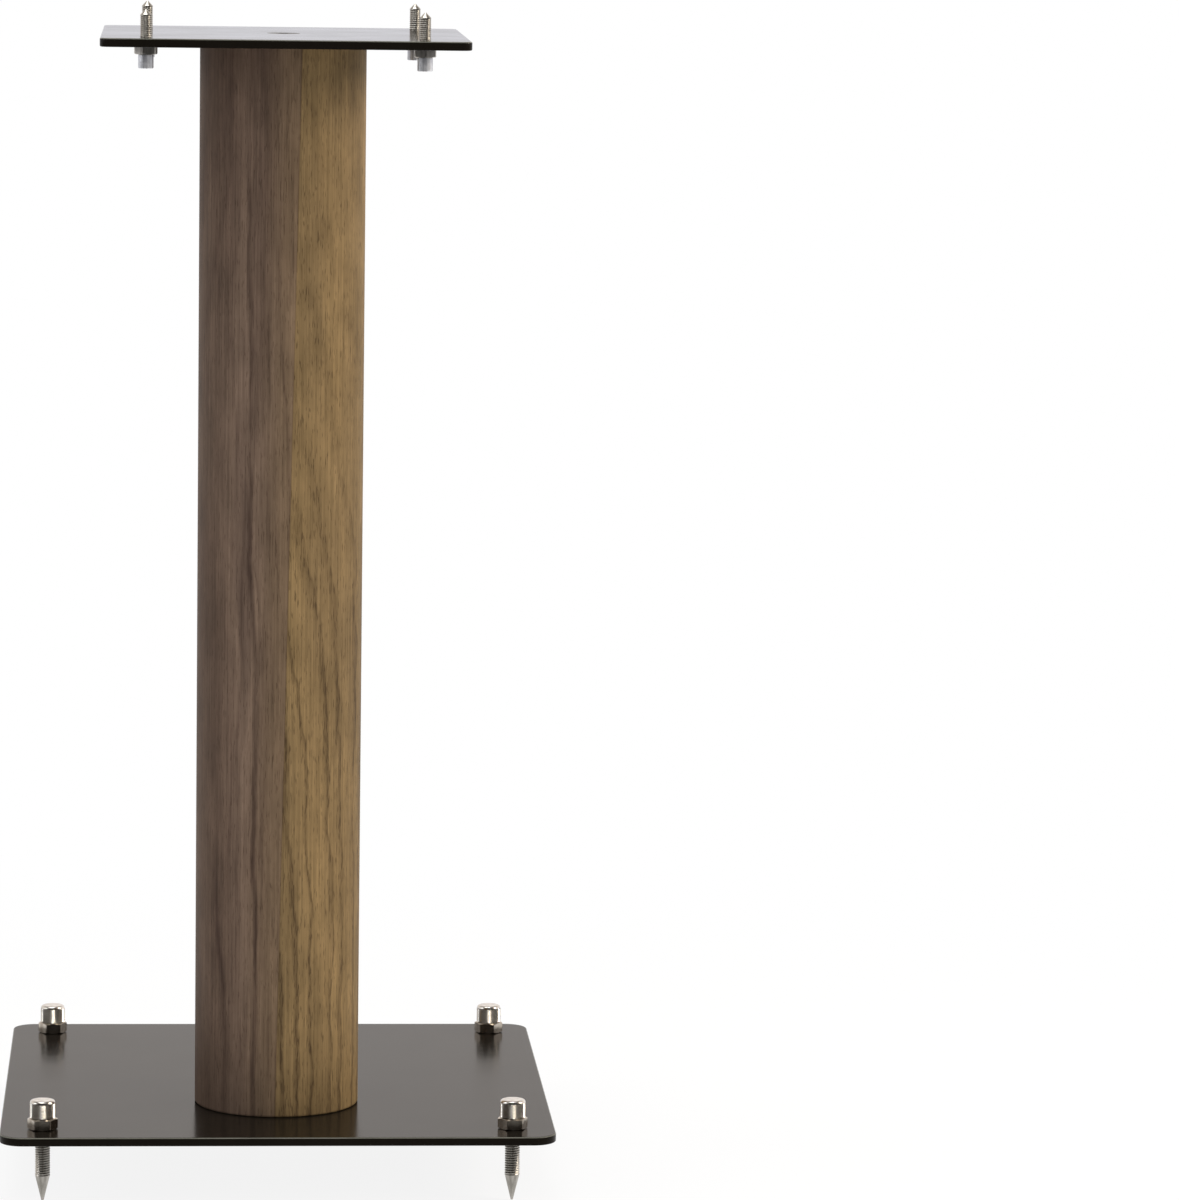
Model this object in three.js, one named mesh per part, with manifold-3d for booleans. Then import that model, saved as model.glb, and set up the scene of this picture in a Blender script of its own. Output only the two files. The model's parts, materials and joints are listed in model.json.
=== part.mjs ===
// A floor-standing speaker stand: a square steel base on four adjustable spikes, one round walnut
// column, and a steel top plate with four adjustable spikes that carry the speaker.
//
// Millimetres, +Z up, the front faces -Y. The origin is on the floor, below the middle of the base.

import * as THREE from 'three';
import { mergeVertices } from 'three/addons/utils/BufferGeometryUtils.js';
import Module from 'manifold-3d';

const wasm = await Module();
wasm.setup();

// ---------------------------------------------------------------- driving dimensions

// Every face-to-face seat and every thread keeps this clearance between its two pieces.
const SEAT_GAP = 0.3;
const THREAD_GAP = 0.3;

// Plates
const BASE_WIDTH = 287;
const BASE_DEPTH = 287;
const BASE_THICKNESS = 4.5;
const BASE_CORNER_RADIUS = 12;
const TOP_WIDTH = 187;
const TOP_DEPTH = 179;
const TOP_THICKNESS = 4.5;
const TOP_CORNER_RADIUS = 5;
const PLATE_EDGE_ROUND = 0.9;

// Column
const COLUMN_DIAMETER = 86;
const COLUMN_LENGTH = 557;
const COLUMN_EDGE_CHAMFER = 1;
const COLUMN_SETBACK = 89.5; // its axis, behind the front edge of the base

// Floor spikes, one in each corner of the base plate
const FLOOR_SPIKE_INSET = 22; // from the plate's edges to the spike's axis
const FLOOR_SHANK_DIAMETER = 7.8; // an M8 thread, drawn plain
const FLOOR_SPIKE_REACH = 33.4; // below the base plate, at the lowest setting
const FLOOR_CONE_LENGTH = 13.5;
const FLOOR_TIP_DIAMETER = 1;
const FLOOR_NUT_ACROSS_FLATS = 14;
const FLOOR_NUT_HEIGHT = 5.5;

// The knurled cap nut on top of each floor spike
const KNOB_DIAMETER = 13.4;
const KNOB_HEIGHT = 9.2;
const KNOB_SHOULDER_RADIUS = 1.5;
const KNOB_FOOT_CHAMFER = 0.5;
const KNOB_CAP_THICKNESS = 2.7; // solid above the bore
const KNURL_DEPTH = 0.35;
const KNURL_DIAMONDS_AROUND = 24;
const KNURL_ROWS = 7;

// Top spikes, one near each corner of the top plate
const TOP_SPIKE_INSET = 23;
const TOP_SHANK_DIAMETER = 5.8; // an M6 thread, drawn plain
const TOP_SPIKE_RISE = 13.8; // above the top plate, at the highest setting
const TOP_CONE_LENGTH = 2.7;
const TOP_TIP_DIAMETER = 0.6;
const TOP_NUT_ACROSS_FLATS = 11;
const TOP_NUT_HEIGHT = 4;

// The turned end below each top spike's lock nut
const GRIP_DIAMETER = 7.8;
const GRIP_HEIGHT = 6.8;
const GRIP_EDGE_CHAMFER = 0.4;
const GRIP_SOCKET_ACROSS_FLATS = 3;
const GRIP_SOCKET_DEPTH = 2;
const GRIP_WEB = 1.3; // solid between the key's socket and the stud's bore

// All nuts and threaded shanks
const NUT_FACE_SHARE = 0.97; // the round face left at each end of a nut, as a share of its flats
const NUT_CHAMFER_ANGLE = 30; // degrees, from the nut's face
const SHANK_END_CHAMFER = 0.6;

// The countersunk screw and threaded insert at each end of the column
const SCREW_HEAD_DIAMETER = 16;
const SCREW_HEAD_RIM = 0.4;
const SCREW_SHANK_DIAMETER = 7.8;
const SCREW_LENGTH = 40;
const SCREW_TIP_CHAMFER = 1;
const SCREW_SOCKET_ACROSS_FLATS = 5;
const SCREW_SOCKET_DEPTH = 2.6;
const SCREW_HEAD_SINK = 0.1; // how far the head sits below the plate's face
const COUNTERSINK_RELIEF = 0.75; // the countersink's rim is wider than the head by this all round
const INSERT_DIAMETER = 14;
const INSERT_LENGTH = 25;
const INSERT_EDGE_CHAMFER = 0.8;
const INSERT_SINK = 1.5; // below the end of the column
const SCREW_END_CLEARANCE = 6; // the column's bore goes on this far past the screw

// Facet counts
const CORNER_SEGMENTS = 5;
const EDGE_SEGMENTS = 2;
const COLUMN_SEGMENTS = 72;
const ROUND_SEGMENTS = 24;
const SHOULDER_SEGMENTS = 3;

// How far a cutting shape runs past the face that it cuts
const OVERCUT = 1;

// ---------------------------------------------------------------- derived heights and places

const BASE_UNDERSIDE = FLOOR_SPIKE_REACH;
const BASE_FACE = BASE_UNDERSIDE + BASE_THICKNESS;
const COLUMN_FOOT = BASE_FACE + SEAT_GAP;
const COLUMN_HEAD = COLUMN_FOOT + COLUMN_LENGTH;
const TOP_UNDERSIDE = COLUMN_HEAD + SEAT_GAP;
const TOP_FACE = TOP_UNDERSIDE + TOP_THICKNESS;
const COLUMN_Y = COLUMN_SETBACK - BASE_DEPTH / 2;

// The four corners, with how far the floor nut and the top nut there happen to be turned (degrees).
const CORNERS = [
  { name: 'front_left', x: -1, y: -1, floorNutTurn: 0, topNutTurn: 20 },
  { name: 'front_right', x: 1, y: -1, floorNutTurn: 7, topNutTurn: 30 },
  { name: 'back_left', x: -1, y: 1, floorNutTurn: 5, topNutTurn: 12 },
  { name: 'back_right', x: 1, y: 1, floorNutTurn: -11, topNutTurn: -23 },
];

// ---------------------------------------------------------------- materials

const finish = (color, roughness, metalness) => () =>
  new THREE.MeshStandardMaterial({ color, roughness, metalness });
const satinBlack = finish(0x1b1b1c, 0.35, 0.3);
const walnut = finish(0x6e5540, 0.5, 0);
const nickel = finish(0xb9b4aa, 0.25, 1);
const blackOxide = finish(0x222224, 0.4, 0.9);
const zinc = finish(0xa7a9ab, 0.4, 1);

// ---------------------------------------------------------------- solids from geometries

// A closed geometry as a solid: only positions are kept, and triangles of no area at an axis go.
function solid(geometry) {
  const bare = geometry.clone();
  bare.deleteAttribute('normal');
  bare.deleteAttribute('uv');
  const merged = mergeVertices(bare, 1e-5);
  const index = merged.index.array;
  const triangles = [];
  for (let i = 0; i < index.length; i += 3) {
    const [a, b, c] = [index[i], index[i + 1], index[i + 2]];
    if (a !== b && b !== c && c !== a) triangles.push(a, b, c);
  }
  return new wasm.Manifold(
    new wasm.Mesh({
      numProp: 3,
      vertProperties: new Float32Array(merged.attributes.position.array),
      triVerts: new Uint32Array(triangles),
    }),
  );
}

function meshOf(name, body, material) {
  const { vertProperties, triVerts } = body.getMesh();
  const geometry = new THREE.BufferGeometry();
  geometry.setAttribute('position', new THREE.BufferAttribute(new Float32Array(vertProperties), 3));
  geometry.setIndex(new THREE.BufferAttribute(new Uint32Array(triVerts), 1));
  geometry.computeVertexNormals();
  const mesh = new THREE.Mesh(geometry, material());
  mesh.name = name;
  return mesh;
}

// A turned solid about Z. The outline is a list of [radius, z], upwards along the outside.
function turned(outline, segments = ROUND_SEGMENTS) {
  const points = outline.map(([radius, z]) => new THREE.Vector2(radius, z));
  return solid(new THREE.LatheGeometry(points, segments).rotateX(Math.PI / 2));
}

function cylinder(radius, from, to, segments = ROUND_SEGMENTS) {
  return turned([[0, from], [radius, from], [radius, to], [0, to]], segments);
}

// A hexagonal prism standing on z = 0, with its corners at +X and -X.
function hexPrism(acrossFlats, height) {
  const cornerRadius = acrossFlats / Math.sqrt(3);
  const corners = [];
  for (let i = 0; i < 6; i++) {
    const angle = (i * Math.PI) / 3;
    corners.push(new THREE.Vector2(cornerRadius * Math.cos(angle), cornerRadius * Math.sin(angle)));
  }
  const options = { depth: height, bevelEnabled: false };
  return solid(new THREE.ExtrudeGeometry(new THREE.Shape(corners), options));
}

// ---------------------------------------------------------------- plates

function roundedRectangle(width, depth, radius) {
  const [x, y] = [width / 2, depth / 2];
  const shape = new THREE.Shape();
  shape.moveTo(x, radius - y);
  shape.lineTo(x, y - radius);
  shape.absarc(x - radius, y - radius, radius, 0, Math.PI / 2);
  shape.lineTo(radius - x, y);
  shape.absarc(radius - x, y - radius, radius, Math.PI / 2, Math.PI);
  shape.lineTo(-x, radius - y);
  shape.absarc(radius - x, radius - y, radius, Math.PI, Math.PI * 1.5);
  shape.lineTo(x - radius, -y);
  shape.absarc(x - radius, radius - y, radius, Math.PI * 1.5, Math.PI * 2);
  return shape;
}

// A plate with rounded corners and softened edges, standing on z = 0. Part of its edge stays flat.
function plateBlank(width, depth, thickness, cornerRadius) {
  const edge = Math.min(PLATE_EDGE_ROUND, thickness / 2.5);
  const geometry = new THREE.ExtrudeGeometry(roundedRectangle(width, depth, cornerRadius), {
    depth: thickness - 2 * edge,
    bevelThickness: edge,
    bevelSize: edge,
    bevelOffset: -edge,
    bevelSegments: EDGE_SEGMENTS,
    curveSegments: CORNER_SEGMENTS,
  });
  return solid(geometry.translate(0, 0, edge));
}

// The space that a countersunk screw takes in a plate whose outer face is z = 0, screw pointing down.
function countersink(thickness) {
  const rim = SCREW_HEAD_DIAMETER / 2 + COUNTERSINK_RELIEF;
  const hole = SCREW_SHANK_DIAMETER / 2 + THREAD_GAP;
  const lowest = -Math.max(thickness, rim - hole) - OVERCUT;
  return turned([
    [0, lowest],
    [hole, lowest],
    [hole, hole - rim],
    [rim, 0],
    [rim, OVERCUT],
    [0, OVERCUT],
  ]);
}

function spikeHoles(halfX, halfY, shankDiameter, thickness) {
  const hole = cylinder(shankDiameter / 2 + THREAD_GAP, -OVERCUT, thickness + OVERCUT);
  return CORNERS.map(({ x, y }) => hole.translate([x * halfX, y * halfY, 0]));
}

function basePlate() {
  let plate = plateBlank(BASE_WIDTH, BASE_DEPTH, BASE_THICKNESS, BASE_CORNER_RADIUS);
  for (const hole of spikeHoles(floorSpikeX, floorSpikeY, FLOOR_SHANK_DIAMETER, BASE_THICKNESS)) {
    plate = plate.subtract(hole);
  }
  const screwHole = countersink(BASE_THICKNESS).rotate([180, 0, 0]);
  return plate.subtract(screwHole.translate([0, COLUMN_Y, 0])).translate([0, 0, BASE_UNDERSIDE]);
}

function topPlate() {
  let plate = plateBlank(TOP_WIDTH, TOP_DEPTH, TOP_THICKNESS, TOP_CORNER_RADIUS);
  for (const hole of spikeHoles(topSpikeX, topSpikeY, TOP_SHANK_DIAMETER, TOP_THICKNESS)) {
    plate = plate.subtract(hole);
  }
  const screwHole = countersink(TOP_THICKNESS).translate([0, 0, TOP_THICKNESS]);
  return plate.subtract(screwHole).translate([0, COLUMN_Y, TOP_UNDERSIDE]);
}

// ---------------------------------------------------------------- column and its fixings

// The height of the screw's head, and what is left of its length past the plate and into the column.
const screwHeadHeight = SCREW_HEAD_RIM + (SCREW_HEAD_DIAMETER - SCREW_SHANK_DIAMETER) / 2;
const intoColumn = (length, thickness) => length + SCREW_HEAD_SINK - thickness - SEAT_GAP;

// How far the insert sits below the end of the column: also clear of the screw's head.
function insertSink(thickness) {
  return Math.max(INSERT_SINK, intoColumn(screwHeadHeight, thickness) + THREAD_GAP);
}

// The bore in one end of the column: wide for the insert, then narrow for the screw's tip.
function endBore(thickness) {
  const wide = INSERT_DIAMETER / 2 + THREAD_GAP;
  const narrow = SCREW_SHANK_DIAMETER / 2 + THREAD_GAP;
  const step = insertSink(thickness) + INSERT_LENGTH + SEAT_GAP;
  const deep = Math.max(intoColumn(SCREW_LENGTH, thickness), step) + SCREW_END_CLEARANCE;
  return turned([
    [0, -deep],
    [narrow, -deep],
    [narrow, -step],
    [wide, -step],
    [wide, OVERCUT],
    [0, OVERCUT],
  ]);
}

function column() {
  const radius = COLUMN_DIAMETER / 2;
  const blank = turned(
    [
      [0, 0],
      [radius - COLUMN_EDGE_CHAMFER, 0],
      [radius, COLUMN_EDGE_CHAMFER],
      [radius, COLUMN_LENGTH - COLUMN_EDGE_CHAMFER],
      [radius - COLUMN_EDGE_CHAMFER, COLUMN_LENGTH],
      [0, COLUMN_LENGTH],
    ],
    COLUMN_SEGMENTS,
  );
  const footBore = endBore(BASE_THICKNESS).rotate([180, 0, 0]);
  const headBore = endBore(TOP_THICKNESS).translate([0, 0, COLUMN_LENGTH]);
  return blank.subtract(footBore).subtract(headBore).translate([0, COLUMN_Y, COLUMN_FOOT]);
}

// A countersunk socket screw pointing down, with its head's face on z = 0.
function countersunkScrew() {
  const head = SCREW_HEAD_DIAMETER / 2;
  const shank = SCREW_SHANK_DIAMETER / 2;
  const screw = turned([
    [0, -SCREW_LENGTH],
    [shank - SCREW_TIP_CHAMFER, -SCREW_LENGTH],
    [shank, SCREW_TIP_CHAMFER - SCREW_LENGTH],
    [shank, -screwHeadHeight],
    [head, -SCREW_HEAD_RIM],
    [head, 0],
    [0, 0],
  ]);
  const socket = hexPrism(SCREW_SOCKET_ACROSS_FLATS, SCREW_SOCKET_DEPTH + OVERCUT);
  return screw.subtract(socket.translate([0, 0, -SCREW_SOCKET_DEPTH]));
}

// A threaded sleeve hanging down from z = 0, with a broken edge at its lower end.
function insert() {
  const outer = INSERT_DIAMETER / 2;
  const inner = SCREW_SHANK_DIAMETER / 2 + THREAD_GAP;
  const chamfer = Math.min(INSERT_EDGE_CHAMFER, (outer - inner) / 2);
  return turned([
    [inner, -INSERT_LENGTH],
    [outer - chamfer, -INSERT_LENGTH],
    [outer, chamfer - INSERT_LENGTH],
    [outer, 0],
    [inner, 0],
    [inner, -INSERT_LENGTH],
  ]);
}

function columnFixings() {
  const screw = countersunkScrew();
  const upScrew = screw.rotate([180, 0, 0]);
  const sleeve = insert();
  const upSleeve = sleeve.rotate([180, 0, 0]);
  const onAxis = (body, z) => body.translate([0, COLUMN_Y, z]);
  const topSleeveZ = COLUMN_HEAD - insertSink(TOP_THICKNESS);
  const bottomSleeveZ = COLUMN_FOOT + insertSink(BASE_THICKNESS);
  return [
    meshOf('top_screw', onAxis(screw, TOP_FACE - SCREW_HEAD_SINK), blackOxide),
    meshOf('top_insert', onAxis(sleeve, topSleeveZ), zinc),
    meshOf('bottom_screw', onAxis(upScrew, BASE_UNDERSIDE + SCREW_HEAD_SINK), blackOxide),
    meshOf('bottom_insert', onAxis(upSleeve, bottomSleeveZ), zinc),
  ];
}

// ---------------------------------------------------------------- nuts and spikes

// A hex nut standing on z = 0, its corners cut back to a cone at both faces.
function hexNut(acrossFlats, height, shankDiameter) {
  const cornerRadius = acrossFlats / Math.sqrt(3);
  const faceRadius = (acrossFlats / 2) * NUT_FACE_SHARE;
  const cut = (cornerRadius - faceRadius) * Math.tan(THREE.MathUtils.degToRad(NUT_CHAMFER_ANGLE));
  const cones = turned([
    [0, 0],
    [faceRadius, 0],
    [cornerRadius, cut],
    [cornerRadius, height - cut],
    [faceRadius, height],
    [0, height],
  ]);
  const bore = cylinder(shankDiameter / 2 + THREAD_GAP, -OVERCUT, height + OVERCUT);
  return hexPrism(acrossFlats, height).intersect(cones).subtract(bore);
}

// A pointed, threaded shank with its point at z = 0 and facing down.
function spike(shankDiameter, length, coneLength, tipDiameter) {
  const shank = shankDiameter / 2;
  return turned([
    [0, 0],
    [tipDiameter / 2, 0],
    [shank, coneLength],
    [shank, length - SHANK_END_CHAMFER],
    [shank - SHANK_END_CHAMFER, length],
    [0, length],
  ]);
}

// ---------------------------------------------------------------- the knurled cap nut

// Rings of points, each given by a height and a radius for every point, become one closed solid.
function loft(rings, count) {
  const positions = [];
  for (const { z, radiusAt } of rings) {
    for (let i = 0; i < count; i++) {
      const angle = (i * 2 * Math.PI) / count;
      const radius = radiusAt(i);
      positions.push(radius * Math.cos(angle), radius * Math.sin(angle), z);
    }
  }
  const lowCentre = positions.length / 3;
  positions.push(0, 0, rings[0].z);
  const highCentre = lowCentre + 1;
  positions.push(0, 0, rings[rings.length - 1].z);

  const index = [];
  for (let i = 0; i < count; i++) {
    const next = (i + 1) % count;
    const lastRing = (rings.length - 1) * count;
    index.push(lowCentre, next, i);
    index.push(highCentre, lastRing + i, lastRing + next);
    for (let row = 0; row < rings.length - 1; row++) {
      const [a, b] = [row * count + i, row * count + next];
      const [c, d] = [a + count, b + count];
      // The diagonal joins the two valleys of a knurl cell, which leaves its peaks pointed.
      if ((i + row) % 2 === 0) index.push(a, b, d, a, d, c);
      else index.push(a, b, c, b, d, c);
    }
  }
  const geometry = new THREE.BufferGeometry();
  geometry.setAttribute('position', new THREE.Float32BufferAttribute(positions, 3));
  geometry.setIndex(index);
  return solid(geometry);
}

const knobBoreDepth = KNOB_HEIGHT - KNOB_CAP_THICKNESS;

// The cap nut stands on z = 0: a diamond knurl between a plain foot and a rounded shoulder.
function knurledKnob() {
  const radius = KNOB_DIAMETER / 2;
  const root = radius - KNURL_DEPTH;
  const even = (value) => () => value;
  const knurlFoot = KNOB_FOOT_CHAMFER;
  const knurlHead = KNOB_HEIGHT - KNOB_SHOULDER_RADIUS;
  const rings = [{ z: 0, radiusAt: even(root - KNOB_FOOT_CHAMFER) }];
  for (let row = 0; row <= KNURL_ROWS; row++) {
    rings.push({
      z: knurlFoot + ((knurlHead - knurlFoot) * row) / KNURL_ROWS,
      radiusAt: (i) => ((i + row) % 2 === 0 ? radius : root),
    });
  }
  for (let step = 1; step <= SHOULDER_SEGMENTS; step++) {
    const angle = (step / SHOULDER_SEGMENTS) * (Math.PI / 2);
    rings.push({
      z: knurlHead + KNOB_SHOULDER_RADIUS * Math.sin(angle),
      radiusAt: even(root - KNOB_SHOULDER_RADIUS * (1 - Math.cos(angle))),
    });
  }
  const bore = cylinder(FLOOR_SHANK_DIAMETER / 2 + THREAD_GAP, -OVERCUT, knobBoreDepth);
  return loft(rings, 2 * KNURL_DIAMONDS_AROUND).subtract(bore);
}

// ---------------------------------------------------------------- floor spikes

const floorSpikeX = BASE_WIDTH / 2 - FLOOR_SPIKE_INSET;
const floorSpikeY = BASE_DEPTH / 2 - FLOOR_SPIKE_INSET;
const floorNutFoot = BASE_FACE + SEAT_GAP;
const knobFoot = floorNutFoot + FLOOR_NUT_HEIGHT + SEAT_GAP;
const floorSpikeLength = knobFoot + knobBoreDepth - SEAT_GAP;

function floorSpikes() {
  const shank = spike(
    FLOOR_SHANK_DIAMETER,
    floorSpikeLength,
    FLOOR_CONE_LENGTH,
    FLOOR_TIP_DIAMETER,
  );
  const nut = hexNut(FLOOR_NUT_ACROSS_FLATS, FLOOR_NUT_HEIGHT, FLOOR_SHANK_DIAMETER);
  const knob = knurledKnob();
  return CORNERS.flatMap(({ name, x, y, floorNutTurn }) => {
    const at = [x * floorSpikeX, y * floorSpikeY];
    const turnedNut = nut.rotate([0, 0, floorNutTurn]);
    return [
      meshOf(`floor_spike_${name}`, shank.translate([...at, 0]), nickel),
      meshOf(`floor_lock_nut_${name}`, turnedNut.translate([...at, floorNutFoot]), nickel),
      meshOf(`floor_knob_${name}`, knob.translate([...at, knobFoot]), nickel),
    ];
  });
}

// ---------------------------------------------------------------- top spikes

const topSpikeX = TOP_WIDTH / 2 - TOP_SPIKE_INSET;
const topSpikeY = TOP_DEPTH / 2 - TOP_SPIKE_INSET;
const topNutFoot = TOP_UNDERSIDE - SEAT_GAP - TOP_NUT_HEIGHT;
const gripHead = topNutFoot - SEAT_GAP;
const topSpikeTip = TOP_FACE + TOP_SPIKE_RISE;
const gripBoreDepth = GRIP_HEIGHT - GRIP_SOCKET_DEPTH - GRIP_WEB;
const topSpikeLength = topSpikeTip - (gripHead - gripBoreDepth + SEAT_GAP);

// The turned end stands on z = 0, bored for the stud from above and socketed for a key from below.
function grip() {
  const radius = GRIP_DIAMETER / 2;
  const blank = turned([
    [0, 0],
    [radius - GRIP_EDGE_CHAMFER, 0],
    [radius, GRIP_EDGE_CHAMFER],
    [radius, GRIP_HEIGHT - GRIP_EDGE_CHAMFER],
    [radius - GRIP_EDGE_CHAMFER, GRIP_HEIGHT],
    [0, GRIP_HEIGHT],
  ]);
  const boreRadius = TOP_SHANK_DIAMETER / 2 + THREAD_GAP;
  const bore = cylinder(boreRadius, GRIP_HEIGHT - gripBoreDepth, GRIP_HEIGHT + OVERCUT);
  const socket = hexPrism(GRIP_SOCKET_ACROSS_FLATS, GRIP_SOCKET_DEPTH + OVERCUT);
  return blank.subtract(bore).subtract(socket.translate([0, 0, -OVERCUT]));
}

function topSpikes() {
  const stud = spike(TOP_SHANK_DIAMETER, topSpikeLength, TOP_CONE_LENGTH, TOP_TIP_DIAMETER);
  const upStud = stud.rotate([180, 0, 0]);
  const nut = hexNut(TOP_NUT_ACROSS_FLATS, TOP_NUT_HEIGHT, TOP_SHANK_DIAMETER);
  const end = grip();
  return CORNERS.flatMap(({ name, x, y, topNutTurn }) => {
    const at = [x * topSpikeX, COLUMN_Y + y * topSpikeY];
    const turnedNut = nut.rotate([0, 0, topNutTurn]);
    return [
      meshOf(`top_spike_${name}`, upStud.translate([...at, topSpikeTip]), nickel),
      meshOf(`top_lock_nut_${name}`, turnedNut.translate([...at, topNutFoot]), nickel),
      meshOf(`top_spike_grip_${name}`, end.translate([...at, gripHead - GRIP_HEIGHT]), nickel),
    ];
  });
}

// ---------------------------------------------------------------- the stand

const stand = new THREE.Group();
stand.name = 'speaker_stand';
stand.add(
  meshOf('base_plate', basePlate(), satinBlack),
  meshOf('column', column(), walnut),
  meshOf('top_plate', topPlate(), satinBlack),
  ...columnFixings(),
  ...floorSpikes(),
  ...topSpikes(),
);

export default stand;
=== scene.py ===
"""The look of a floor-standing speaker stand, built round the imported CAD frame.

Metres and +Z up as in the frame, with the front towards -Y. Each shape function below works in
millimetres about its own axis, with heights above the floor, and mesh_piece() scales it.
"""

import json
import math

import bmesh
import bpy
from mathutils import Matrix, Vector


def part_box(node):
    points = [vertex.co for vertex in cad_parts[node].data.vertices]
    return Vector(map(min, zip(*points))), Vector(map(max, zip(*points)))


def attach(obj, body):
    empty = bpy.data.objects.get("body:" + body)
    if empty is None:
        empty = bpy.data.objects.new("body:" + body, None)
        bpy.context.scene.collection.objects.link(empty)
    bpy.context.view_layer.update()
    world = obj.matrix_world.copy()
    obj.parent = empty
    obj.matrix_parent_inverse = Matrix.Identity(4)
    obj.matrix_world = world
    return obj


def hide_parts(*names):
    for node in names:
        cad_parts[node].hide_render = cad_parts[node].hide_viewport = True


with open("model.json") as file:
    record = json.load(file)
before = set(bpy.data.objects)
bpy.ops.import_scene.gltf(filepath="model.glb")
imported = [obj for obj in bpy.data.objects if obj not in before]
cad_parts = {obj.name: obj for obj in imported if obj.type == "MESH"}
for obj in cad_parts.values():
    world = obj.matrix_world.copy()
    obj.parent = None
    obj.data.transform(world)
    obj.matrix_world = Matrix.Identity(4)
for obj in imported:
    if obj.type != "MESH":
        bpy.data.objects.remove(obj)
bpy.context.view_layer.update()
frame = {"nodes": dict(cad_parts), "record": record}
nodes = frame["nodes"]
scene = bpy.context.scene

BODY_OF = {
    node: body
    for body, members in frame["record"]["behaviour"]["bodies"].items()
    for node in members
}
CORNERS = ("front_left", "front_right", "back_left", "back_right")
MM = 0.001


# ---------------------------------------------------------------- sizes in millimetres


# neighbours in the CAD part keep 0.3 mm apart, and a piece here grows by this much into that gap
SEAT_CLOSE = 0.24

# the plates
BASE_CORNER = 12
TOP_CORNER = 5
EDGE_ROUND = 0.75
FLAT_BAND = 0.7  # a narrow flat ring inside a rounding keeps the wide face's shading flat
HOLE_CHAMFER = 0.3
SCREW_RIM = 8.6
SCREW_SUNK = 0.1
CORNER_STEPS = 14
EDGE_STEPS = 5
HOLE_STEPS = 48

# the radii of the bores, in the plates and in the nuts, round the two kinds of spike
SHANK_BORE = 4.1
STUD_BORE = 3.05

# threads
SHANK_PITCH = 1.25
STUD_PITCH = 1.0
ROWS_PER_PITCH = 8
RUN_OUT = 0.8  # the pitches over which a thread fades in and out
FLANK_GAIN = 1.5
ROOT_FLAT = 0.2
SPIKE_STEPS = 48

# nuts
FLOOR_NUT_FLATS = 14
TOP_NUT_FLATS = 11
NUT_WEAR = 0.22
NUT_FACE = 0.96  # the chamfer's circle, as a share of the width across flats
NUT_CHAMFER = math.radians(30)
BORE_CHAMFER = 0.5
NUT_STEPS = 180

# knobs
KNOB_RADIUS = 6.7
KNURL_AROUND = 26
KNURL_DEPTH = 0.4
KNURL_STEPS = 4  # columns and rows of points in a diamond
KNURL_TOP = 0.8  # the share of a diamond's height at which it is cut flat

# grips and screws
GRIP_RADIUS = 3.9
GRIP_KEY = 3
SCREW_KEY = 5
TURNED_STEPS = 96

# the column
COLUMN_BORE = 7.3
BORE_DEPTH = 45
COLUMN_STEPS = 240


def box_mm(node):
    low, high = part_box(node)
    return low / MM, high / MM


def heights(node):
    low, high = box_mm(node)
    return low.z, high.z


def middle(node):
    """The axis of an upright node, as (x, y) in millimetres."""
    low, high = box_mm(node)
    return (low.x + high.x) / 2, (low.y + high.y) / 2


# ---------------------------------------------------------------- making pieces


SOFT_EDGE = 35  # degrees between two faces, above which their edge is sharp
NUT_EDGE = 25
KNURL_EDGE = 38


def mesh_piece(node, vertices, faces, slot, material, where, sharp=SOFT_EDGE):
    """A mesh in millimetres about (x, y) = where becomes the piece that stands for a CAD node."""
    name = node + ".look"
    mesh = bpy.data.meshes.new(name)
    mesh.from_pydata([Vector(v) * MM for v in vertices], [], faces)
    finish_mesh(mesh, sharp)
    piece = bpy.data.objects.new(name, mesh)
    scene.collection.objects.link(piece)
    piece.location = (where[0] * MM, where[1] * MM, 0)
    piece.data.materials.append(material)
    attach(piece, BODY_OF[node])
    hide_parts(node)


def finish_mesh(mesh, sharp):
    """Normals outwards, smooth shading, and a sharp edge wherever two faces turn by more."""
    bm = bmesh.new()
    bm.from_mesh(mesh)
    bmesh.ops.recalc_face_normals(bm, faces=bm.faces)
    bm.to_mesh(mesh)
    bm.free()
    mesh.shade_smooth()
    mesh.set_sharp_from_angle(angle=math.radians(sharp))


def lathe(rows, segments, turn=0, loop=False, split=None):
    """Vertices and faces of a closed shell about the axis.

    Each row is (radius, height), or a function of the angle that gives the two. With loop the last
    row joins the first, and otherwise both ends close in a point on the axis. split(i, row) says
    which diagonal cuts the quad there, and None leaves it whole.
    """
    vertices, faces = [], []
    for row in rows:
        for i in range(segments):
            angle = 2 * math.pi * i / segments
            radius, height = row(angle) if callable(row) else row
            along = angle + math.radians(turn)
            vertices.append((radius * math.cos(along), radius * math.sin(along), height))
    count = len(rows)
    for row in range(count if loop else count - 1):
        low, high = row * segments, (row + 1) % count * segments
        for i in range(segments):
            after = (i + 1) % segments
            a, b, c, d = low + i, low + after, high + after, high + i
            if split is None or split(i, row) is None:
                faces.append((a, b, c, d))
            elif split(i, row):
                faces += [(a, b, c), (a, c, d)]
            else:
                faces += [(a, b, d), (b, c, d)]
    if not loop:
        for row, flip in ((0, True), (count - 1, False)):
            start = row * segments
            height = sum(v[2] for v in vertices[start:start + segments]) / segments
            centre = len(vertices)
            vertices.append((0, 0, height))
            for i in range(segments):
                edge = (start + i, start + (i + 1) % segments)
                faces.append((centre, *reversed(edge)) if flip else (centre, *edge))
    return vertices, faces


def rounding(size, steps):
    """(inset, drop) pairs of a quarter round, from the flat face's edge to the side."""
    turns = [math.pi / 2 * k / steps for k in range(steps + 1)]
    return [(size * (1 - math.sin(t)), size * (1 - math.cos(t))) for t in turns]


# ---------------------------------------------------------------- plates


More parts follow.
